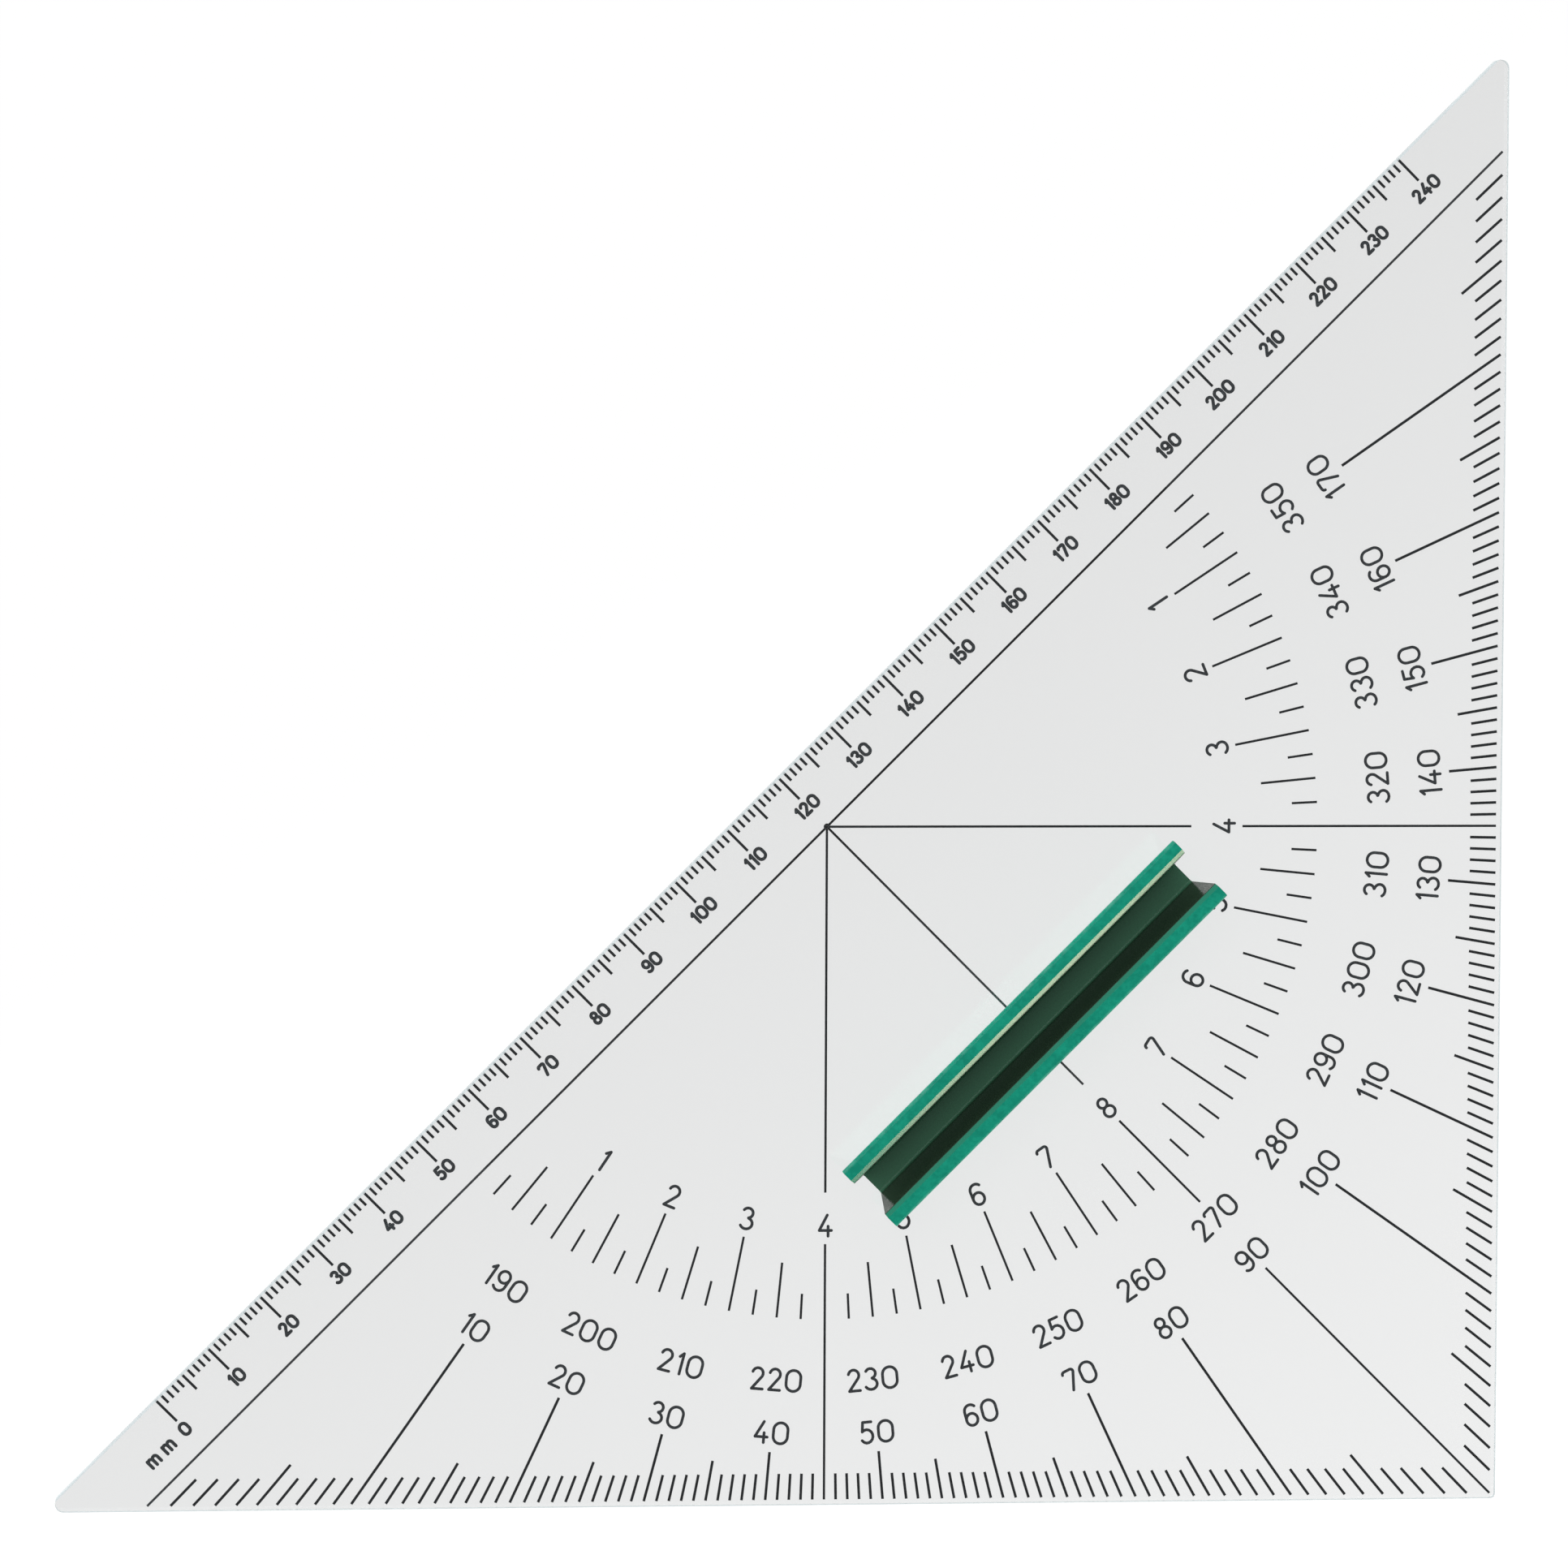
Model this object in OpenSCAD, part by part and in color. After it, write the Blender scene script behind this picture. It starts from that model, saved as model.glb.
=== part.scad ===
// Clear navigation set square with a protractor, a compass-point scale and a clip-in grip.
// Seen from above as it lies on a chart: the right angle is at +X -Y, the long edge runs from
// the lower left to the upper right. The origin is the middle of the outline's box, on the
// underside. All print is cut shallow into the underside and filled with ink, so it lies
// against the chart and is read through the clear sheet.

/* [Plate] */
// Distance from the protractor centre to each short edge
leg_from_centre = 93.3; // [92:0.1:110]
// Distance from the protractor centre to the long edge
edge_from_centre = 9.6; // [8.5:0.1:14]
// Thickness of the clear sheet
plate_t = 2; // [1.5:0.1:4]
// Rounding of the two sharp tips
tip_r = 1.2; // [0.6:0.1:3]
// Rounding of the right-angled corner
corner_r = 0.8; // [0.3:0.1:3]
// Edge break round the top face
edge_break = 0.2; // [0.1:0.05:0.8]

/* [Print] */
// Width of the ruled lines and the compass-point graduations
line_w = 0.32; // [0.15:0.01:0.4]
// Width of the bolder millimetre and degree graduations
bold_w = 0.37; // [0.2:0.01:0.45]
// Depth of the inked grooves in the underside
print_depth = 0.1; // [0.05:0.01:0.3]
// Radius of the dot at the protractor centre
centre_dot_r = 0.45; // [0.3:0.05:0.8]

/* [Millimetre scale] */
// Length of the scale along the long edge, in whole millimetres
scale_length = 240; // [180:10:250]
// Gap between the long edge and the start of each graduation
scale_inset = 0.15; // [0.1:0.05:1]
// Length of a single-millimetre graduation
mm_l = 1.5; // [1:0.1:2]
// Length of a five-millimetre graduation
five_mm_l = 2.9; // [2.2:0.1:3.4]
// Length of a ten-millimetre graduation
ten_mm_l = 4.1; // [3.6:0.1:4.4]

/* [Degree scale] */
// Gap between the short edges and the outer end of each graduation
degree_inset = 0.6; // [0.4:0.1:2]
// Depth of a one-degree graduation, square to its edge
degree_l = 3.6; // [2.5:0.1:4]
// Depth of a five-degree graduation, square to its edge
five_degree_l = 5.5; // [4.5:0.1:6]
// Radius at which each ten-degree line starts, outside its numbers
ten_degree_r = 86.4; // [80:0.1:87]

/* [Compass-point scale] */
// Outer radius of the compass-point ring
point_r = 67.8; // [60:0.1:70]
// Length of a quarter-point graduation
quarter_point_l = 3.5; // [2.5:0.1:5]
// Length of a half-point graduation
half_point_l = 7.6; // [6:0.1:8.5]
// Length of a whole-point graduation
point_l = 10.4; // [9:0.1:12]
// Room left in the long rays for a compass-point number
number_gap = 7.1; // [4:0.1:8]
// Room left in the corner ray for the two degree numbers
degree_number_gap = 13; // [10:0.1:16]

/* [Grip] */
// Distance from the protractor centre to the grip's middle line
grip_from_centre = 38.9; // [34:0.1:42]
// Length of the grip where it stands on the plate
grip_l = 59.6; // [52:0.1:64]
// Height of the grip above the plate
grip_h = 9.6; // [6:0.1:14]
// Thickness of the channel's floor
floor_t = 1.5; // [1:0.1:2.5]
// Width of the channel's floor
channel_w = 3.3; // [2.5:0.1:6]
// Thickness of the channel's walls, measured level
wall_t = 2.4; // [1.9:0.05:3]
// Outward lean of the grip's sides, in degrees
side_lean = 9.5; // [2:0.1:16]
// Outward lean of the grip's ends, in degrees
end_lean = 11.9; // [0:0.1:20]
// Rounding of the outer top edge of each wall
lip_r = 0.45; // [0.2:0.05:0.6]
// Width of the bevel on the inner top edge of each wall
bevel_w = 0.65; // [0.3:0.05:0.8]
// Drop of that bevel
bevel_drop = 0.35; // [0.2:0.05:0.6]
// Rounding where the channel's floor meets its walls
root_r = 0.4; // [0.2:0.05:0.8]

/* [Grip pegs] */
// Diameter of the two pegs that clip the grip into the plate
peg_d = 4; // [3:0.1:5]
// Running clearance of a peg in its hole, on the radius
peg_clearance = 0.05; // [0.02:0.01:0.1]
// Distance between the two pegs
peg_spacing = 44; // [30:1:48]
// How far the peg ends stay above the underside
peg_recess = 0.25; // [0.1:0.05:0.5]
// Width of the slot that lets each peg spring
peg_slot_w = 0.6; // [0.4:0.1:1]
// Lead-in at the end of each peg
peg_lead = 0.3; // [0.1:0.05:0.4]

/* [Hidden] */
$fn = 48;
// Length of each short edge with sharp corners, from the distances to the protractor centre
leg = 2 * leg_from_centre + edge_from_centre * sqrt(2);
// Rounding a 45 degree tip takes this much off the outline's box on each side
box = leg - tip_r * sqrt(2);
right_x = box / 2;
low_y = -box / 2;
centre_x = right_x - leg_from_centre;
centre_y = low_y + leg_from_centre;
// Direction of the ray at 0 degrees, and of the long edge
zero_ray = 225;
long_edge_turn = 45;
// Perpendicular distance from the protractor centre to the graduations' outer ends
degree_end = leg_from_centre - degree_inset;
degrees_per_point = 11.25;
marks_per_point = 4;
mark_step = degrees_per_point / marks_per_point;
// The whole-point graduations end where the number starts
number_r = point_r - point_l;
cut_margin = 1;
clear_tint = [0.86, 0.9, 0.91, 0.45];
ink = [0.07, 0.08, 0.09];
grip_green = [0.02, 0.5, 0.38];

// Everything that is measured from the protractor centre
module at_centre() {
    translate([centre_x, centre_y, 0]) children();
}

// A straight printed line along a ray, as a groove or as the ink in it
module ray_line(theta, r_in, r_out, below = 0, w = line_w) {
    rotate(zero_ray + theta)
        translate([r_in, -w / 2, -below])
            cube([r_out - r_in, w, print_depth + below]);
}

// Distance from the centre, along a ray, of a line parallel to the nearest short edge
function along_ray(theta, square_distance) =
    square_distance / cos(theta <= 90 ? theta - 45 : theta - 135);

// Base line, the three long rays and the dot at the centre
module ruled_line_shapes(below = 0) {
    at_centre() {
        union() {
            ray_line(0, 0, degree_end * sqrt(2), below);
            ray_line(180, 0, degree_end * sqrt(2), below);
            for (theta = [45, 90, 135])
                ray_line(theta, 0, number_r - number_gap, below);
            translate([0, 0, -below]) cylinder(r = centre_dot_r, h = print_depth + below);
        }
        for (theta = [45, 135])
            ray_line(theta, number_r, degree_end, below);
        ray_line(90, number_r, ten_degree_r - degree_number_gap, below);
        ray_line(90, ten_degree_r, degree_end * sqrt(2), below);
    }
}

// Graduations along the long edge, longer at every fifth and tenth
module millimetre_shapes(below = 0) {
    at_centre() rotate(long_edge_turn)
        for (mm = [0:scale_length]) {
            l = mm % 10 == 0 ? ten_mm_l : mm % 5 == 0 ? five_mm_l : mm_l;
            translate([mm - scale_length / 2 - bold_w / 2, edge_from_centre - scale_inset - l, -below])
                cube([bold_w, l, print_depth + below]);
        }
}

// Degree graduations along both short edges; the long rays stand for 45, 90 and 135
module degree_shapes(below = 0) {
    at_centre()
        for (theta = [1:179])
            if (theta % 45 != 0) {
                depth = theta % 5 == 0 ? five_degree_l : degree_l;
                r_in = theta % 10 == 0 ? ten_degree_r : along_ray(theta, degree_end - depth);
                ray_line(theta, r_in, along_ray(theta, degree_end), below, bold_w);
            }
}

// Ring of quarter, half and whole compass points, counted from the base line
module point_shapes(below = 0) {
    marks = 180 / mark_step;
    at_centre()
        for (i = [1:marks - 1])
            if ((i * mark_step) % 45 != 0) {
                l = i % marks_per_point == 0 ? point_l
                  : i % 2 == 0 ? half_point_l : quarter_point_l;
                ray_line(i * mark_step, point_r - l, point_r, below);
            }
}

// Outline of the sheet: a right-angled triangle with rounded tips and a rounded corner
module outline() {
    tip_back = tip_r / tan(22.5);
    union() {
        polygon([
            [right_x - leg + tip_back, low_y],
            [right_x - corner_r, low_y],
            [right_x, low_y + corner_r],
            [right_x, low_y + leg - tip_back],
            [right_x - tip_back * sin(45), low_y + leg - tip_back * cos(45)],
            [right_x - leg + tip_back * cos(45), low_y + tip_back * sin(45)]
        ]);
        translate([right_x - corner_r, low_y + corner_r]) circle(r = corner_r);
        translate([right_x - leg + tip_back, low_y + tip_r]) circle(r = tip_r);
        translate([right_x - tip_r, low_y + leg - tip_back]) circle(r = tip_r);
    }
}

// Takes the sharp edge off the top along one straight side; x runs along the side, y points out
module edge_break_cut(length) {
    rotate([45, 0, 0])
        translate([-length / 2, -edge_break * sqrt(0.5), -edge_break * sqrt(0.5)])
            cube([length, 2 * edge_break, edge_break * sqrt(2)]);
}

// The clear sheet, with the peg holes and the grooves for the print
module plate() {
    color(clear_tint)
    difference() {
        linear_extrude(plate_t) outline();
        translate([0, low_y, plate_t]) rotate(180) edge_break_cut(2 * leg);
        translate([right_x, 0, plate_t]) rotate(-90) edge_break_cut(2 * leg);
        at_centre() rotate(long_edge_turn) {
            translate([0, edge_from_centre, plate_t]) edge_break_cut(2 * leg);
            for (side = [-1, 1])
                translate([side * peg_spacing / 2, -grip_from_centre, -cut_margin])
                    cylinder(d = peg_d + 2 * peg_clearance, h = plate_t + 2 * cut_margin);
        }
        ruled_line_shapes(cut_margin);
        millimetre_shapes(cut_margin);
        degree_shapes(cut_margin);
        point_shapes(cut_margin);
    }
}

function arc(centre, r, from, to, steps = 6) =
    [for (i = [0:steps]) centre + r * [cos(from + (to - from) * i / steps),
                                       sin(from + (to - from) * i / steps)]];

// Right half of the grip's section: x across the grip, y up from the plate
function half_section() =
    let (
        slope = tan(side_lean),
        root_x = channel_w / 2,
        base_x = root_x + wall_t - floor_t * slope,
        top_out = root_x + wall_t + (grip_h - floor_t) * slope,
        outer = [top_out - lip_r * (1 + sin(side_lean)) / cos(side_lean), grip_h - lip_r],
        bevel_y = grip_h - bevel_drop,
        bevel_x = root_x + (bevel_y - floor_t) * slope,
        root = [root_x - root_r * (1 - sin(side_lean)) / cos(side_lean), floor_t + root_r]
    )
    concat(
        [[base_x, 0]],
        arc(outer, lip_r, -side_lean, 90),
        [[bevel_x + bevel_w, grip_h], [bevel_x, bevel_y]],
        arc(root, root_r, -side_lean, -90)
    );

function mirrored(points) = [for (i = [len(points) - 1:-1:0]) [-points[i][0], points[i][1]]];

// The grip: an open channel whose sides and ends lean outwards, so that fingers hold under it
module grip_channel() {
    half_top = grip_l / 2 + grip_h * tan(end_lean);
    intersection() {
        rotate([90, 0, 90])
            translate([0, 0, -half_top - cut_margin])
                linear_extrude(2 * (half_top + cut_margin))
                    polygon(concat(half_section(), mirrored(half_section())));
        translate([0, grip_h + 2 * wall_t + channel_w, 0])
            rotate([90, 0, 0])
                linear_extrude(2 * (grip_h + 2 * wall_t + channel_w))
                    polygon([[-grip_l / 2, 0], [grip_l / 2, 0], [half_top, grip_h], [-half_top, grip_h]]);
    }
}

// One slotted peg, hanging down from the grip through the plate
module peg() {
    l = plate_t - peg_recess;
    difference() {
        union() {
            translate([0, 0, -l + peg_lead]) cylinder(d = peg_d, h = l - peg_lead + floor_t / 2);
            translate([0, 0, -l]) cylinder(d1 = peg_d - 2 * peg_lead, d2 = peg_d, h = peg_lead);
        }
        translate([-peg_d, -peg_slot_w / 2, -l - cut_margin]) cube([2 * peg_d, peg_slot_w, l + cut_margin]);
    }
}

module handle() {
    color(grip_green)
    at_centre() rotate(long_edge_turn) translate([0, -grip_from_centre, plate_t])
        union() {
            grip_channel();
            for (side = [-1, 1])
                translate([side * peg_spacing / 2, 0, 0]) peg();
        }
}

module ruled_lines() {
    color(ink) ruled_line_shapes();
}

module millimetre_scale() {
    color(ink) millimetre_shapes();
}

module degree_scale() {
    color(ink) degree_shapes();
}

module point_scale() {
    color(ink) point_shapes();
}

plate();
handle();
ruled_lines();
millimetre_scale();
degree_scale();
point_scale();
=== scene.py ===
# Looks of a clear navigation set square with inlaid scales, numbers and a clip-in grip.
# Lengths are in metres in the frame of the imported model. The underside lies on z = 0.
import math

import bmesh
import bpy
from mathutils import Matrix, Vector
from mathutils.geometry import delaunay_2d_cdt


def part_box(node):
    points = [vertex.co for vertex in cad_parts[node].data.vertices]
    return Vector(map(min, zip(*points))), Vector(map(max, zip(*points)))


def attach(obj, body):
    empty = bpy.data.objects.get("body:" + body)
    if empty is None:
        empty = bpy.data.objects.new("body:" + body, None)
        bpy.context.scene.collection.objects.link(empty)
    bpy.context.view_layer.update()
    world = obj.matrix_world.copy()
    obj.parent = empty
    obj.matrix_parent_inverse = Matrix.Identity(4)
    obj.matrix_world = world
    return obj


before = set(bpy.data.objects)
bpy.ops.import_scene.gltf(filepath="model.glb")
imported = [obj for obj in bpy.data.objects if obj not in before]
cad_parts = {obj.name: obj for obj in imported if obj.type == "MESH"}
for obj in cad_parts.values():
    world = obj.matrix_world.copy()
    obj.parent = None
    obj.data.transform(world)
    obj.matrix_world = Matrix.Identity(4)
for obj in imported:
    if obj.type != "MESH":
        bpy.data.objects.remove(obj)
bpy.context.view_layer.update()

SCENE = bpy.context.scene
MM = 0.001

# The box of the ruled lines is centred on the protractor centre
RULED_LOW, RULED_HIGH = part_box("ruled_lines")
CENTRE = ((RULED_LOW + RULED_HIGH) / 2).to_2d()
PRINT_DEPTH = RULED_HIGH.z
# Angles in degrees: the ray marked 0 and the long edge in the frame, and one compass point
ZERO_RAY = 225
LONG_EDGE_TURN = 45
HALF_TURN = 180
POINTS_IN_HALF_TURN = 16
DEGREES_PER_POINT = HALF_TURN / POINTS_IN_HALF_TURN
# The long edge's distance from the protractor centre, and its scale's length in millimetres
EDGE_FROM_CENTRE = 9.6 * MM
MM_SCALE_LENGTH = 240

# The numbers lie just inside the underside, level with the inlaid lines
NUMBER_BOTTOM = 0.1 * PRINT_DEPTH
NUMBER_TOP = 0.8 * PRINT_DEPTH


# Camera, as fitted to the photographed scales

CAMERA_PLACE = Vector((-85.1, 54.3, 954.9)) * MM
CAMERA_AIM = Vector((0.08, -0.12, 0)) * MM
CAMERA_ROLL = math.radians(0.24)
SENSOR_WIDTH = 36
FOCAL_LENGTH = 161.2
NEAREST_SEEN = 0.05
FARTHEST_SEEN = 20


def make_camera():
    """The camera looks down on the set square from beyond its long edge."""
    data = bpy.data.cameras.new("camera")
    data.sensor_width = SENSOR_WIDTH
    data.lens = FOCAL_LENGTH
    data.clip_start = NEAREST_SEEN
    data.clip_end = FARTHEST_SEEN
    camera = bpy.data.objects.new("camera", data)
    SCENE.collection.objects.link(camera)
    ahead = (CAMERA_AIM - CAMERA_PLACE).normalized()
    right = ahead.cross(Vector((0, 1, 0))).normalized()
    up = right.cross(ahead)
    turn = Matrix((right, up, -ahead)).transposed() @ Matrix.Rotation(CAMERA_ROLL, 3, "Z")
    camera.matrix_world = Matrix.Translation(CAMERA_PLACE) @ turn.to_4x4()
    SCENE.camera = camera


make_camera()


# Studio: a pale floor, a sky that is brighter near the horizon, and soft lamps

FLOOR_DROP = 0.05 * MM
FLOOR_SIZE = 12
# The floor glows like a light table, which keeps the shadows faint, and brightens towards +X -Y
FLOOR_COLOUR = (0.12, 0.12, 0.12, 1)
FLOOR_GLOW = 0.95
FLOOR_GLOW_PER_METRE = (0.48, -0.74, 0)
FLOOR_GLOW_LOWEST = 0.922
FLOOR_GLOW_HIGHEST = 1.09
# The sky's brightness at rising heights, from the horizon at 0 to the zenith at 1
SKY = ((0.0, 1.6), (0.45, 0.4), (1.0, 0.35))
# Azimuth and elevation as seen from the object, distance, diameter, power, colour
KEY_LAMP = (-42.4, 25, 1.2, 0.16, 0.43, (1, 0.9, 0.62))
TOP_LAMP = (135, 70, 1.5, 0.8, 4.9, (1, 1, 1))


def new_material(name):
    """An empty node material and its node tree."""
    material = bpy.data.materials.new(name)
    material.use_nodes = True
    material.node_tree.nodes.clear()
    return material, material.node_tree


def node(tree, kind, **values):
    """A node with its properties and inputs set by name."""
    made = tree.nodes.new(kind)
    for key, value in values.items():
        if hasattr(made, key):
            setattr(made, key, value)
        else:
            made.inputs[key.replace("_", " ")].default_value = value
    return made


def object_place(tree, scale=(1, 1, 1), turn=0.0):
    """Texture coordinates in the object's own frame, turned about Z and scaled."""
    place = node(tree, "ShaderNodeTexCoord")
    mapping = node(tree, "ShaderNodeMapping")
    mapping.inputs["Rotation"].default_value = (0, 0, math.radians(turn))
    mapping.inputs["Scale"].default_value = scale
    tree.links.new(place.outputs["Object"], mapping.inputs[0])
    return mapping.outputs[0]


def noise(tree, place, scale, detail):
    """A noise value from 0 to 1, of so many features per unit of place."""
    made = node(tree, "ShaderNodeTexNoise", Scale=scale, Detail=detail)
    tree.links.new(place, made.inputs["Vector"])
    return made.outputs[0]


def between(tree, factor, low, high, colour_low, colour_high):
    """A colour ramp from one colour to another over part of a factor's range."""
    ramp = node(tree, "ShaderNodeValToRGB")
    for element, at, colour in zip(ramp.color_ramp.elements, (low, high), (colour_low, colour_high)):
        element.position = at
        element.color = colour
    tree.links.new(factor, ramp.inputs[0])
    return ramp.outputs[0]


def mapped(tree, factor, low, high, to_low, to_high):
    """A value carried from one range to another and held at its ends."""
    made = node(tree, "ShaderNodeMapRange")
    for number, value in enumerate((low, high, to_low, to_high), 1):
        made.inputs[number].default_value = value
    tree.links.new(factor, made.inputs[0])
    return made.outputs[0]


def calculated(tree, operation, *values):
    """A Math node whose inputs are numbers or other nodes' outputs."""
    made = node(tree, "ShaderNodeMath", operation=operation)
    for socket, value in zip(made.inputs, values):
        if isinstance(value, (int, float)):
            socket.default_value = value
        else:
            tree.links.new(value, socket)
    return made.outputs[0]


def mixed(tree, factor, first, second):
    """A mix of two colours, each a value or another node's output."""
    made = node(tree, "ShaderNodeMix", data_type="RGBA")
    tree.links.new(factor, made.inputs["Factor"])
    # The node's colour sockets are its inputs 6 and 7 and its output 2
    for socket, value in zip((made.inputs[6], made.inputs[7]), (first, second)):
        if isinstance(value, tuple):
            socket.default_value = value
        else:
            tree.links.new(value, socket)
    return made.outputs[2]


def blended(tree, factor, first, second):
    """A mix of two shaders."""
    made = node(tree, "ShaderNodeMixShader")
    tree.links.new(factor, made.inputs[0])
    tree.links.new(first.outputs[0], made.inputs[1])
    tree.links.new(second.outputs[0], made.inputs[2])
    return made


def bump(tree, height, strength, distance):
    """Small relief from a height value."""
    made = node(tree, "ShaderNodeBump", Strength=strength, Distance=distance)
    tree.links.new(height, made.inputs["Height"])
    return made.outputs[0]


def make_floor():
    """A matt floor far larger than the object, with a painted glow that brightens towards +X -Y."""
    mesh = bpy.data.meshes.new("floor")
    half = FLOOR_SIZE / 2
    corners = ((-half, -half), (half, -half), (half, half), (-half, half))
    mesh.from_pydata([(x, y, -FLOOR_DROP) for x, y in corners], [], [(0, 1, 2, 3)])
    floor = bpy.data.objects.new("floor", mesh)
    SCENE.collection.objects.link(floor)
    material, tree = new_material("floor")
    matt = node(tree, "ShaderNodeBsdfDiffuse", Color=FLOOR_COLOUR)
    glow = node(tree, "ShaderNodeEmission")
    slope = node(tree, "ShaderNodeVectorMath", operation="DOT_PRODUCT")
    slope.inputs[1].default_value = FLOOR_GLOW_PER_METRE
    tree.links.new(object_place(tree), slope.inputs[0])
    strength = mapped(
        tree, slope.outputs["Value"], FLOOR_GLOW_LOWEST - FLOOR_GLOW, FLOOR_GLOW_HIGHEST - FLOOR_GLOW,
        FLOOR_GLOW_LOWEST, FLOOR_GLOW_HIGHEST,
    )
    tree.links.new(strength, glow.inputs["Strength"])
    both = node(tree, "ShaderNodeAddShader")
    output = node(tree, "ShaderNodeOutputMaterial")
    tree.links.new(matt.outputs[0], both.inputs[0])
    tree.links.new(glow.outputs[0], both.inputs[1])
    tree.links.new(both.outputs[0], output.inputs["Surface"])
    mesh.materials.append(material)


def make_sky():
    """Light that comes mostly from the sides, as from white studio walls."""
    world = bpy.data.worlds.new("studio")
    world.use_nodes = True
    tree = world.node_tree
    tree.nodes.clear()
    direction = node(tree, "ShaderNodeTexCoord")
    split = node(tree, "ShaderNodeSeparateXYZ")
    blend = node(tree, "ShaderNodeValToRGB")
    blend.color_ramp.elements.new(SKY[1][0])
    for element, (height, level) in zip(blend.color_ramp.elements, SKY):
        element.position = height
        element.color = (level, level, level, 1)
    background = node(tree, "ShaderNodeBackground")
    output = node(tree, "ShaderNodeOutputWorld")
    tree.links.new(direction.outputs["Generated"], split.inputs[0])
    tree.links.new(split.outputs["Z"], blend.inputs[0])
    tree.links.new(blend.outputs[0], background.inputs["Color"])
    tree.links.new(background.outputs[0], output.inputs["Surface"])
    SCENE.world = world


def make_lamp(name, azimuth, elevation, distance, size, power, colour):
    """A round soft lamp aimed at the object."""
    data = bpy.data.lights.new(name, "AREA")
    data.shape = "DISK"
    data.size = size
    data.energy = power
    data.color = colour
    lamp = bpy.data.objects.new(name, data)
    SCENE.collection.objects.link(lamp)
    azimuth, elevation = math.radians(azimuth), math.radians(elevation)
    away = Vector((
        math.cos(azimuth) * math.cos(elevation),
        math.sin(azimuth) * math.cos(elevation),
        math.sin(elevation),
    ))
    turn = away.to_track_quat("Z", "Y").to_matrix().to_4x4()
    lamp.matrix_world = Matrix.Translation(away * distance) @ turn


make_floor()
make_sky()
make_lamp("key_lamp", *KEY_LAMP)
make_lamp("top_lamp", *TOP_LAMP)
SCENE.view_settings.view_transform = "Standard"


# Materials

# A noise is given by its features per metre and its detail.
# A range is given by the two values that a change lies between.
NOISE_MIDDLE = (0.35, 0.65)
# Depth of the sheet's waviness and of the grip's grain, and how strongly each shows
RELIEF_DEPTH = 0.02 * MM
WAVINESS = 0.1
GRAIN = 0.25

ACRYLIC_TINT = (0.79, 0.795, 0.795, 1)
ACRYLIC_EDGE_TINT = (0.86, 0.95, 0.97, 1)
# What lamp light keeps where it passes through the sheet
ACRYLIC_SHADE = (0.955, 0.957, 0.957, 1)
ACRYLIC_IOR = 1.49
HAZE_NOISE = (60, 4)
WAVE_NOISE = (25, 1)
# Roughness of clean and of hazed faces, and what scratches and the saw add to it
POLISHED = 0.015
HAZED = 0.035
SCRATCHED = 0.06
SAWN = 0.12
# Hairlines run in two directions, in degrees, with many more features across them than along
SCRATCH_TURNS = (20, 115)
SCRATCH_STRETCH = (40, 9000, 1)
SCRATCH_NOISE = (1, 2)
SCRATCH_RANGE = (0.66, 0.74)
# A face is a cut edge where its normal's Z is below this range
EDGE_NORMAL_RANGE = (0.8, 0.9)
# Share of frost on the sawn edges, which varies with the saw marks
EDGE_FROST_COLOUR = (0.8, 0.88, 0.9, 1)
EDGE_FROST_WORN = 0.66
EDGE_FROST_FRESH = 0.84
SAW_NOISE = (1800, 2)

INK_THIN = (0.014, 0.024, 0.032, 1)
INK_DENSE = (0.004, 0.008, 0.012, 1)
INK_ROUGHNESS = 0.5
INK_NOISE = (900, 4)

GREEN_LIGHT = (0.004, 0.44, 0.285, 1)
GREEN_DARK = (0.0, 0.325, 0.212, 1)
GREEN_SPECULAR = 0.25
GREEN_ROUGHNESS = (0.22, 0.32)
CLOUD_NOISE = (260, 4)
SPECKLE_NOISE = (1500, 4)
GRAIN_NOISE = (4500, 2)
MOTTLE_RANGE = (0.38, 0.62)
SPECKLE_RANGE = (0.3, 0.7)
# The rounded top edges of the grip's outer sides are worn paler and rougher in patches
WORN_GREEN = (0.1, 0.5, 0.36, 1)
WORN_ROUGHNESS = 0.2
WORN_MOST = 0.6
WORN_NOISE = (420, 3)
WORN_RANGE = (0.5, 0.62)
LIP_HEIGHT = 0.6 * MM
LIP_HEIGHT_FULL = 0.8 * LIP_HEIGHT
LIP_NORMAL_FROM_SIDE = (0.25, 0.45)
LIP_NORMAL_TO_TOP = (0.97, 0.995)
# The inner bevels are burnished, which shows as a clear coat, and have a darker green as painted shade
BEVEL_SHADE_GREEN = (0.0, 0.3, 0.18, 1)
BEVEL_DROP = 0.35 * MM
BEVEL_DROP_FULL = 0.7 * BEVEL_DROP
BEVEL_WIDTH = 0.6 * MM
BEVEL_WIDTH_FULL = 0.95 * BEVEL_WIDTH
BURNISHED = 0.14
BURNISHED_IOR = 1.6
# Painted shade: the channel between the grip's walls is darkened, its walls more than its floor
CHANNEL_SHADE_GREEN = (0.06, 0.2, 0.115, 1)
CHANNEL_WALL_SHADE_GREEN = (0.027, 0.05, 0.029, 1)
CHANNEL_WIDTH = 3.3 * MM
CHANNEL_FLOOR_RISE = 1.5 * MM
CHANNEL_LEAN = math.radians(9.5)
# Where the channel's colour ends past a wall's face and below the floor
WALL_FADE = (0.05 * MM, 0.15 * MM)
FLOOR_FADE = (-0.2 * MM, 0)
# Height above the floor at which the walls begin
WALL_FOOT = (0.1 * MM, 0.5 * MM)
# How much smoother the channel's walls and the bevels are than the rest
WALL_POLISH = 0.12


def scratches(tree, turn):
    """Faint hairlines from sliding over charts, all in one direction: from 0 to 1."""
    streaks = noise(tree, object_place(tree, SCRATCH_STRETCH, turn), *SCRATCH_NOISE)
    return mapped(tree, streaks, *SCRATCH_RANGE, 0, 1)


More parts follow.
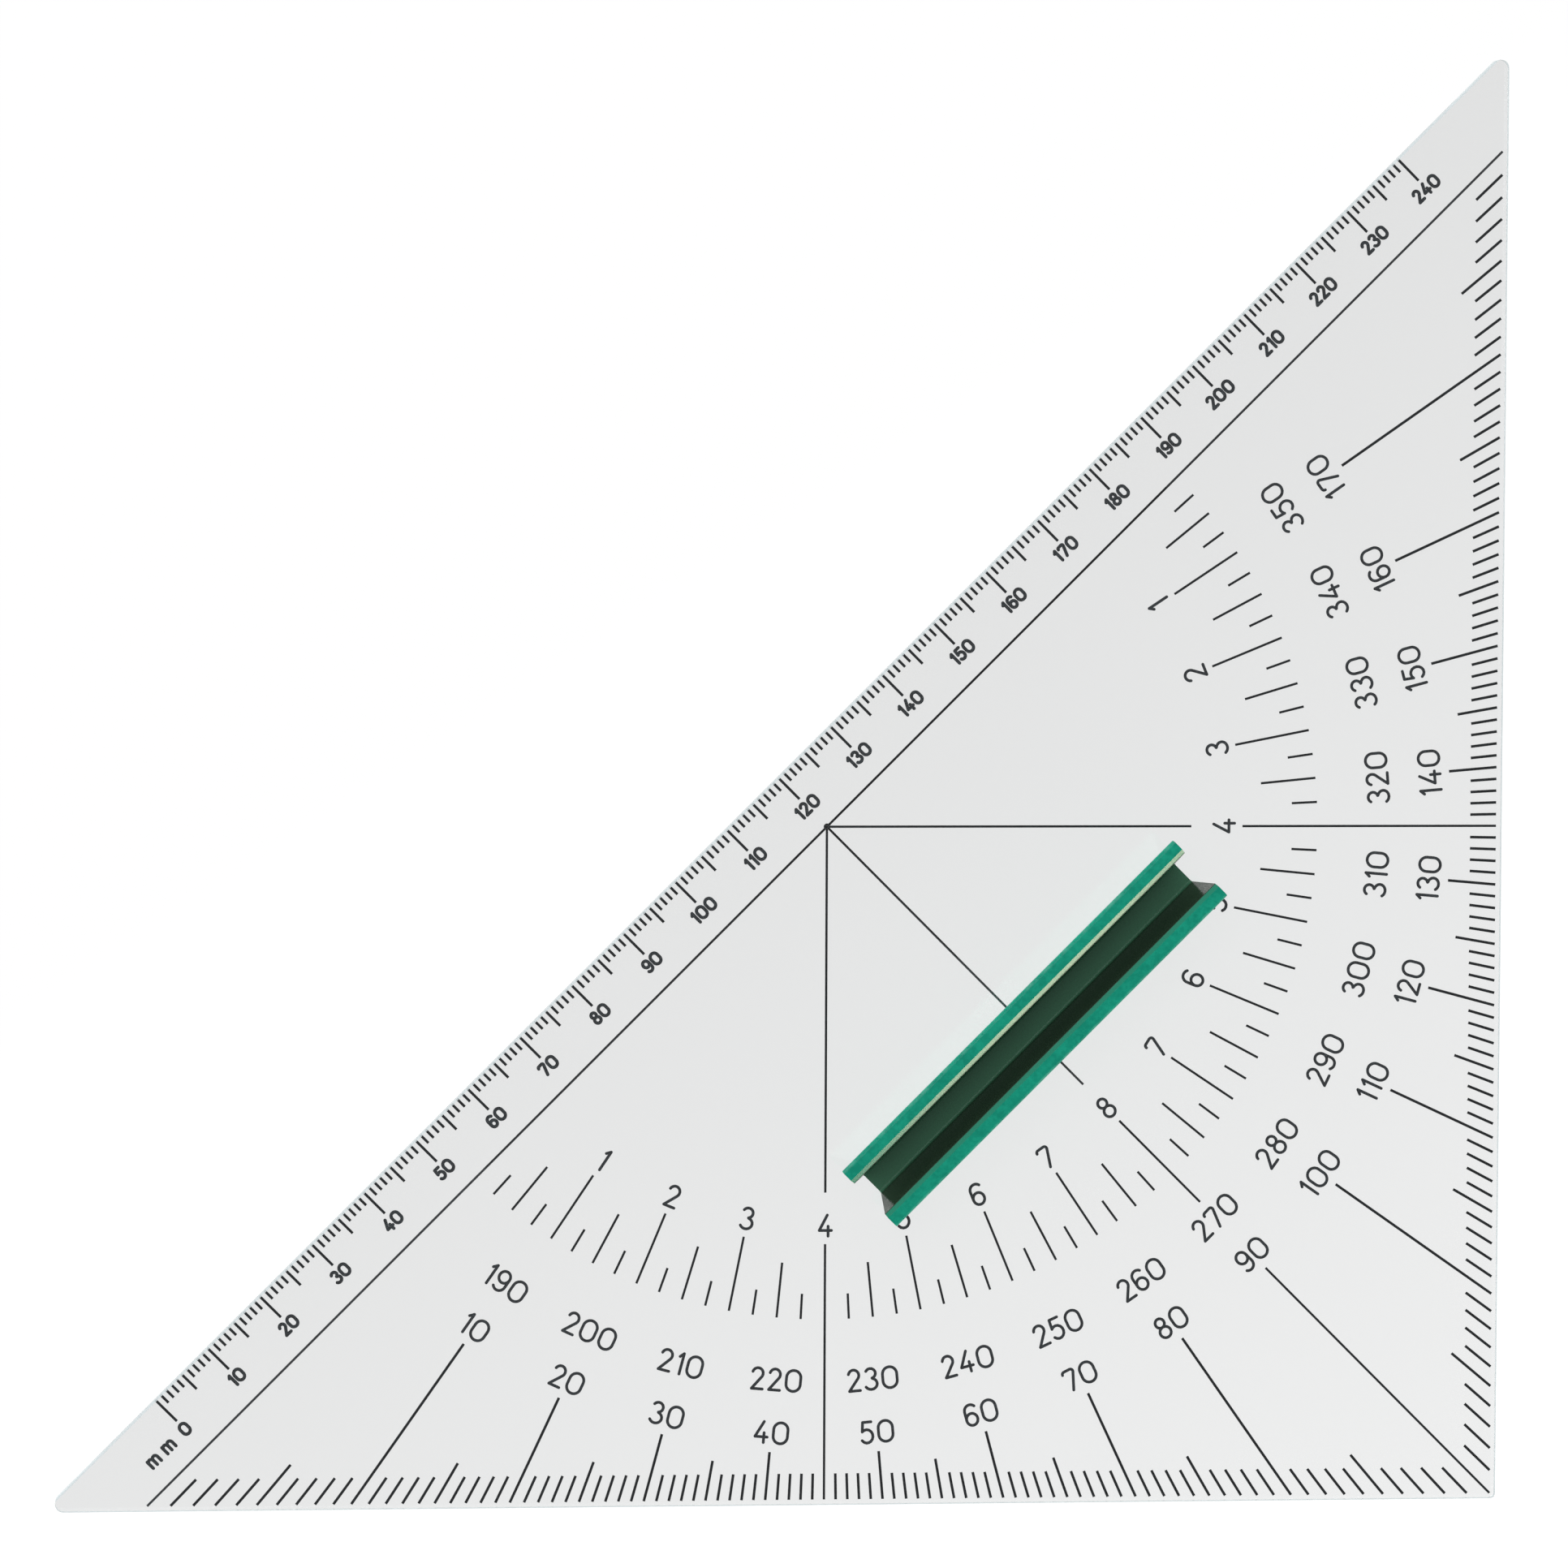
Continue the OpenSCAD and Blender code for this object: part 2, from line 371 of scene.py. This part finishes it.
def cut_edges(tree):
    """1 on the sawn edges and their edge break, 0 on the faces and in the inked grooves."""
    place = node(tree, "ShaderNodeTexCoord")
    facing, height = (node(tree, "ShaderNodeSeparateXYZ") for _ in range(2))
    tree.links.new(place.outputs["Normal"], facing.inputs[0])
    tree.links.new(place.outputs["Object"], height.inputs[0])
    tilt = calculated(tree, "ABSOLUTE", facing.outputs["Z"])
    upright = mapped(tree, tilt, *EDGE_NORMAL_RANGE, 1, 0)
    above_print = mapped(tree, height.outputs["Z"], PRINT_DEPTH, 2 * PRINT_DEPTH, 0, 1)
    return calculated(tree, "MULTIPLY", upright, above_print)


def acrylic():
    """Clear sheet that bends what is seen through it and lets the lamps shine through."""
    material, tree = new_material("clear_acrylic")
    place = object_place(tree)
    edge = cut_edges(tree)
    haze = mapped(tree, noise(tree, place, *HAZE_NOISE), *NOISE_MIDDLE, POLISHED, HAZED)
    hairlines = calculated(tree, "MAXIMUM", *(scratches(tree, turn) for turn in SCRATCH_TURNS))
    scratched = calculated(tree, "MULTIPLY_ADD", hairlines, SCRATCHED, haze)
    waviness = bump(tree, noise(tree, place, *WAVE_NOISE), WAVINESS, RELIEF_DEPTH)
    glass = node(tree, "ShaderNodeBsdfPrincipled", Transmission_Weight=1.0, IOR=ACRYLIC_IOR)
    tree.links.new(mixed(tree, edge, ACRYLIC_TINT, ACRYLIC_EDGE_TINT), glass.inputs["Base Color"])
    tree.links.new(calculated(tree, "MULTIPLY_ADD", edge, SAWN, scratched), glass.inputs["Roughness"])
    tree.links.new(waviness, glass.inputs["Normal"])
    frost = node(tree, "ShaderNodeBsdfDiffuse", Color=EDGE_FROST_COLOUR)
    saw_marks = mapped(
        tree, noise(tree, place, *SAW_NOISE), *NOISE_MIDDLE, EDGE_FROST_WORN, EDGE_FROST_FRESH,
    )
    frosted = blended(tree, calculated(tree, "MULTIPLY", edge, saw_marks), glass, frost)
    through = node(tree, "ShaderNodeBsdfTransparent", Color=ACRYLIC_SHADE)
    path = node(tree, "ShaderNodeLightPath")
    lamp_ray = calculated(tree, "MAXIMUM", path.outputs["Is Shadow Ray"], path.outputs["Is Diffuse Ray"])
    output = node(tree, "ShaderNodeOutputMaterial")
    tree.links.new(blended(tree, lamp_ray, frosted, through).outputs[0], output.inputs["Surface"])
    return material


def ink():
    """Printing ink, a little thinner in places."""
    material, tree = new_material("black_ink")
    place = object_place(tree)
    shader = node(tree, "ShaderNodeBsdfPrincipled", Roughness=INK_ROUGHNESS)
    density = between(tree, noise(tree, place, *INK_NOISE), *NOISE_MIDDLE, INK_THIN, INK_DENSE)
    output = node(tree, "ShaderNodeOutputMaterial")
    tree.links.new(density, shader.inputs["Base Color"])
    tree.links.new(shader.outputs[0], output.inputs["Surface"])
    return material


def channel_masks(tree):
    """How far a point is inside the grip's channel, on its walls and on its bevels: from 0 to 1. They
    place the painted shade, and the bevels' coat.
    """
    low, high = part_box("handle")
    middle = ((low + high) / 2).to_2d()
    floor_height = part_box("plate")[1].z + CHANNEL_FLOOR_RISE
    place = node(tree, "ShaderNodeTexCoord")
    split = node(tree, "ShaderNodeSeparateXYZ")
    tree.links.new(place.outputs["Object"], split.inputs[0])
    # Distance from the grip's middle line, which runs at 45 degrees to the frame's axes
    difference = calculated(tree, "SUBTRACT", split.outputs["X"], split.outputs["Y"])
    centred = calculated(tree, "SUBTRACT", difference, middle.x - middle.y)
    across = calculated(tree, "MULTIPLY", calculated(tree, "ABSOLUTE", centred), math.sqrt(0.5))
    rise = calculated(tree, "SUBTRACT", split.outputs["Z"], floor_height)
    wall_line = calculated(tree, "MULTIPLY_ADD", rise, math.tan(CHANNEL_LEAN), CHANNEL_WIDTH / 2)
    past_wall = calculated(tree, "SUBTRACT", across, wall_line)
    between_walls = mapped(tree, past_wall, *WALL_FADE, 1, 0)
    above_floor = mapped(tree, rise, *FLOOR_FADE, 0, 1)
    below_bevel = mapped(
        tree, split.outputs["Z"], high.z - BEVEL_DROP, high.z - BEVEL_DROP_FULL, 1, 0,
    )
    in_height = calculated(tree, "MULTIPLY", above_floor, below_bevel)
    inside = calculated(tree, "MULTIPLY", between_walls, in_height)
    on_wall = calculated(tree, "MULTIPLY", inside, mapped(tree, rise, *WALL_FOOT, 0, 1))
    inner_lip = mapped(tree, past_wall, BEVEL_WIDTH_FULL, BEVEL_WIDTH, 1, 0)
    on_bevel = calculated(tree, "MULTIPLY", inner_lip, calculated(tree, "SUBTRACT", 1, below_bevel))
    return inside, on_wall, on_bevel


def worn_lips(tree, place):
    """Rubbed patches along the outer lips of the grip's walls: from 0 to 1."""
    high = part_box("handle")[1]
    coordinates = node(tree, "ShaderNodeTexCoord")
    facing, height = (node(tree, "ShaderNodeSeparateXYZ") for _ in range(2))
    tree.links.new(coordinates.outputs["Normal"], facing.inputs[0])
    tree.links.new(coordinates.outputs["Object"], height.inputs[0])
    past_side = mapped(tree, facing.outputs["Z"], *LIP_NORMAL_FROM_SIDE, 0, 1)
    before_top = mapped(tree, facing.outputs["Z"], *LIP_NORMAL_TO_TOP, 1, 0)
    rounded = calculated(tree, "MULTIPLY", past_side, before_top)
    near_top = mapped(
        tree, height.outputs["Z"], high.z - LIP_HEIGHT, high.z - LIP_HEIGHT_FULL, 0, 1,
    )
    patches = mapped(tree, noise(tree, place, *WORN_NOISE), *WORN_RANGE, 0, WORN_MOST)
    return calculated(tree, "MULTIPLY", patches, calculated(tree, "MULTIPLY", rounded, near_top))


def green_plastic():
    """Moulded plastic with a fine grain, with painted shade inside the channel and on the bevels, which
    are also burnished.
    """
    material, tree = new_material("green_plastic")
    place = object_place(tree)
    shader = node(
        tree, "ShaderNodeBsdfPrincipled",
        Specular_IOR_Level=GREEN_SPECULAR, Coat_Roughness=BURNISHED, Coat_IOR=BURNISHED_IOR,
    )
    clouds, speckles = noise(tree, place, *CLOUD_NOISE), noise(tree, place, *SPECKLE_NOISE)
    mottle = calculated(tree, "MULTIPLY", calculated(tree, "ADD", clouds, speckles), 1 / 2)
    outer = between(tree, mottle, *MOTTLE_RANGE, GREEN_DARK, GREEN_LIGHT)
    inside, on_wall, on_bevel = channel_masks(tree)
    worn = calculated(tree, "MULTIPLY", worn_lips(tree, place), calculated(tree, "SUBTRACT", 1, on_bevel))
    # The bevels get a darker green, painted shade, and the outer lips their paler wear
    outer = mixed(tree, worn, mixed(tree, on_bevel, outer, BEVEL_SHADE_GREEN), WORN_GREEN)
    # Painted shade: the channel is darkened, its walls more than its floor
    colour = mixed(tree, on_wall, mixed(tree, inside, outer, CHANNEL_SHADE_GREEN), CHANNEL_WALL_SHADE_GREEN)
    smoother = calculated(tree, "MAXIMUM", on_wall, on_bevel)
    moulded = mapped(tree, speckles, *SPECKLE_RANGE, *GREEN_ROUGHNESS)
    moulded = calculated(tree, "MULTIPLY_ADD", smoother, -WALL_POLISH, moulded)
    roughness = calculated(tree, "MULTIPLY_ADD", worn, WORN_ROUGHNESS, moulded)
    grain = bump(tree, noise(tree, place, *GRAIN_NOISE), GRAIN, RELIEF_DEPTH)
    output = node(tree, "ShaderNodeOutputMaterial")
    tree.links.new(colour, shader.inputs["Base Color"])
    tree.links.new(roughness, shader.inputs["Roughness"])
    tree.links.new(on_bevel, shader.inputs["Coat Weight"])
    tree.links.new(grain, shader.inputs["Normal"])
    tree.links.new(shader.outputs[0], output.inputs["Surface"])
    return material


INK = ink()
NODE_MATERIALS = {
    "plate": acrylic(),
    "handle": green_plastic(),
    "ruled_lines": INK,
    "millimetre_scale": INK,
    "degree_scale": INK,
    "point_scale": INK,
}
for name, material in NODE_MATERIALS.items():
    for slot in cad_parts[name].material_slots:
        slot.material = material


# Numbers: single-stroke engraver's figures, drawn in a cell one unit high

# Height, stroke and gap of the figures on the rays, of those on the long edge, and of the letters
RAY_FIGURES = (3.3 * MM, 0.4 * MM, 0.42 * MM)
EDGE_FIGURES = (2.1 * MM, 0.46 * MM, 0.04 * MM)
UNIT_LETTERS = (1.65 * MM, 0.46 * MM, 0)
# Distances from the protractor centre to the middle of the ray numbers
DEGREE_NUMBER_RADIUS = 83.7 * MM
RECIPROCAL_NUMBER_RADIUS = 76.35 * MM
POINT_NUMBER_RADIUS = 54.85 * MM
# Distances from the long edge, and the letters' places along it from its middle
EDGE_NUMBER_INSET = 5.75 * MM
UNIT_INSET = 5.95 * MM
UNIT_PLACES = (-126.05 * MM, -123.25 * MM)

ARC_STEPS = 12
RING_STEPS = 24
DISC_SIDES = 16
# A stroke is rounded off at a turn sharper than this, and otherwise mitred
SHARP_TURN = math.radians(35)
# Points of a stroke, of the joined outlines and of a finished figure that are one, if closer
SAME_POINT = 0.000001 * MM
POINT_MERGE = 0.0001 * MM
FIGURE_WELD = 0.004 * MM
# Faces and edges that meet at less than this angle are joined
FLAT_WITHIN = math.radians(1)


def arc(x, y, rx, ry, start, end, steps=ARC_STEPS):
    """Points along an ellipse from one angle to another, in degrees."""
    angles = [math.radians(start + (end - start) * i / steps) for i in range(steps + 1)]
    return [(x + rx * math.cos(a), y + ry * math.sin(a)) for a in angles]


def turned(strokes, width):
    """A figure turned by half a circle in its cell."""
    return [[(width - x, 1 - y) for x, y in stroke] for stroke in strokes]


SIX = [
    arc(0.27, 0.29, 0.27, 0.29, 0, 360, RING_STEPS),
    arc(0.29, 0.7, 0.29, 0.3, 40, 180) + [(0, 0.29)],
]
# Each figure: width of its cell and its strokes, which close where they end where they start
FIGURES = {
    "0": (0.68, [
        arc(0.34, 0.66, 0.34, 0.34, 0, 180) + arc(0.34, 0.34, 0.34, 0.34, 180, 360) + [(0.68, 0.66)],
    ]),
    "1": (0.24, [[(0.06, 0.82), (0.22, 1), (0.22, 0)]]),
    "2": (0.54, [arc(0.27, 0.74, 0.25, 0.26, 165, -38) + [(0.02, 0), (0.54, 0)]]),
    "3": (0.54, [arc(0.25, 0.765, 0.24, 0.235, 150, -75), arc(0.25, 0.265, 0.29, 0.265, 75, -150)]),
    "4": (0.6, [[(0.4, 1), (0.02, 0.27), (0.6, 0.27)], [(0.44, 0.47), (0.44, 0)]]),
    "5": (0.54, [[(0.5, 1), (0.1, 1), (0.05, 0.55)], arc(0.25, 0.32, 0.29, 0.32, 132, -145)]),
    "6": (0.54, SIX),
    "7": (0.54, [
        arc(0.12, 0.86, 0.12, 0.12, 180, 90, 4) + arc(0.42, 0.87, 0.12, 0.12, 90, -22, 5) + [(0.2, 0)],
    ]),
    "8": (0.54, [
        arc(0.27, 0.27, 0.27, 0.27, 0, 360, RING_STEPS),
        arc(0.27, 0.77, 0.22, 0.23, 0, 360, RING_STEPS),
    ]),
    "9": (0.54, turned(SIX, 0.54)),
    "m": (1.3, [
        [(0, 1), (0, 0)],
        arc(0.325, 0.62, 0.325, 0.38, 180, 0) + [(0.65, 0)],
        arc(0.975, 0.62, 0.325, 0.38, 180, 0) + [(1.3, 0)],
    ]),
}


def stroke_outlines(points, half):
    """Simple polygons that together cover a stroke of that half width, all in millimetres."""
    points = [Vector(p) for p in points]
    closed = (points[0] - points[-1]).length < SAME_POINT / MM
    if closed:
        points = points[:-1]
    count = len(points)
    sides, discs = [], []
    for i, point in enumerate(points):
        at_end = not closed and i in (0, count - 1)
        before = (point - points[i - 1]).normalized() if closed or i else None
        after = (points[(i + 1) % count] - point).normalized() if closed or i < count - 1 else None
        before, after = before or after, after or before
        sharp = before.angle(after) > SHARP_TURN
        if at_end or sharp:
            discs.append([
                point + half * Vector((math.cos(a), math.sin(a)))
                for a in (2 * math.pi * k / DISC_SIDES for k in range(DISC_SIDES))
            ])
        middle = (before + after).normalized()
        reach = half / before.dot(middle)
        out_before, out_after = (
            (half * before.orthogonal(), half * after.orthogonal()) if sharp
            else (reach * middle.orthogonal(),) * 2
        )
        sides.append((point, out_before, out_after))
    bands = []
    for i in range(count if closed else count - 1):
        (start, _, out_start), (end, out_end, _) = sides[i], sides[(i + 1) % count]
        bands.append([start - out_start, end - out_end, end + out_end, start + out_start])
    return bands + discs


def joined(outlines):
    """The outlines as one flat shape without overlaps, in millimetres: its points and its faces."""
    points, faces = [], []
    for outline in outlines:
        area = sum(a.x * b.y - b.x * a.y for a, b in zip(outline, outline[1:] + outline[:1]))
        faces.append([len(points) + k for k in range(len(outline))][:: 1 if area > 0 else -1])
        points += outline
    made = delaunay_2d_cdt(points, [], faces, 1, POINT_MERGE / MM)
    return made[0], [face for face, sources in zip(made[2], made[5]) if sources]


def figure_mesh(character, height, stroke):
    """One figure as flat faces, the start of its cell at the origin."""
    scale = (height - stroke) / MM
    outlines = []
    for points in FIGURES[character][1]:
        outlines += stroke_outlines([(x * scale, y * scale) for x, y in points], stroke / MM / 2)
    points, faces = joined(outlines)
    flat = bmesh.new()
    corners = [flat.verts.new((p.x * MM, p.y * MM, 0)) for p in points]
    for face in faces:
        flat.faces.new([corners[k] for k in face])
    loose = [v for v in flat.verts if not v.link_faces]
    bmesh.ops.delete(flat, geom=loose, context="VERTS")
    bmesh.ops.remove_doubles(flat, verts=flat.verts, dist=FIGURE_WELD)
    bmesh.ops.dissolve_degenerate(flat, edges=flat.edges, dist=FIGURE_WELD)
    bmesh.ops.dissolve_limit(
        flat, angle_limit=FLAT_WITHIN, use_dissolve_boundaries=False, verts=flat.verts, edges=flat.edges,
    )
    return flat


def number_piece(name, labels, height, stroke, gap):
    """All numbers of one scale as one inlaid piece. A label is (text, middle, turn in degrees)."""
    scale, pitch = height - stroke, gap + stroke
    used = sorted({c for text, _, _ in labels for c in text})
    flat = {c: figure_mesh(c, height, stroke) for c in used}
    whole = bmesh.new()
    for text, middle, turn in labels:
        length = sum(FIGURES[c][0] * scale for c in text) + pitch * (len(text) - 1)
        stand = Matrix.Translation(middle.to_3d()) @ Matrix.Rotation(math.radians(turn), 4, "Z")
        x = -length / 2
        for c in text:
            copy = flat[c].copy()
            shift = Matrix.Translation((x, -scale / 2, NUMBER_BOTTOM))
            bmesh.ops.transform(copy, matrix=stand @ shift, verts=copy.verts)
            mesh = bpy.data.meshes.new("figure")
            copy.to_mesh(mesh)
            copy.free()
            whole.from_mesh(mesh)
            bpy.data.meshes.remove(mesh)
            x += FIGURES[c][0] * scale + pitch
    for figure in flat.values():
        figure.free()
    raised = bmesh.ops.extrude_face_region(whole, geom=whole.faces[:])
    top = [v for v in raised["geom"] if isinstance(v, bmesh.types.BMVert)]
    bmesh.ops.translate(whole, vec=(0, 0, NUMBER_TOP - NUMBER_BOTTOM), verts=top)
    bmesh.ops.recalc_face_normals(whole, faces=whole.faces)
    mesh = bpy.data.meshes.new(name)
    whole.to_mesh(mesh)
    whole.free()
    mesh.materials.append(INK)
    piece = bpy.data.objects.new(name, mesh)
    SCENE.collection.objects.link(piece)
    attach(piece, "plate")


def polar(radius, angle):
    """The point at a distance from the protractor centre, along a ray of the frame's angle."""
    a = math.radians(angle)
    return CENTRE + radius * Vector((math.cos(a), math.sin(a)))


def on_ray(theta, radius, text):
    """A label that stands across the ray of that many degrees, its top towards the centre."""
    angle = ZERO_RAY + theta
    return (text, polar(radius, angle), angle + 90)


def along_edge(from_middle, inward, text):
    """A label along the long edge, its top towards the edge."""
    a = math.radians(LONG_EDGE_TURN)
    along, out = Vector((math.cos(a), math.sin(a))), Vector((-math.sin(a), math.cos(a)))
    return (text, CENTRE + from_middle * along + (EDGE_FROM_CENTRE - inward) * out, LONG_EDGE_TURN)


DEGREE_TENS = range(10, HALF_TURN, 10)
POINTS = range(1, POINTS_IN_HALF_TURN)
MILLIMETRE_TENS = range(0, MM_SCALE_LENGTH + 1, 10)

number_piece(
    "degree_numbers",
    [on_ray(t, DEGREE_NUMBER_RADIUS, str(t)) for t in DEGREE_TENS],
    *RAY_FIGURES,
)
number_piece(
    "reciprocal_numbers",
    [on_ray(t, RECIPROCAL_NUMBER_RADIUS, str(t + HALF_TURN)) for t in DEGREE_TENS],
    *RAY_FIGURES,
)
number_piece(
    "point_numbers",
    [
        on_ray(k * DEGREES_PER_POINT, POINT_NUMBER_RADIUS, str(min(k, POINTS_IN_HALF_TURN - k)))
        for k in POINTS
    ],
    *RAY_FIGURES,
)
number_piece(
    "millimetre_numbers",
    [along_edge((n - MM_SCALE_LENGTH / 2) * MM, EDGE_NUMBER_INSET, str(n)) for n in MILLIMETRE_TENS],
    *EDGE_FIGURES,
)
number_piece("unit_letters", [along_edge(x, UNIT_INSET, "m") for x in UNIT_PLACES], *UNIT_LETTERS)
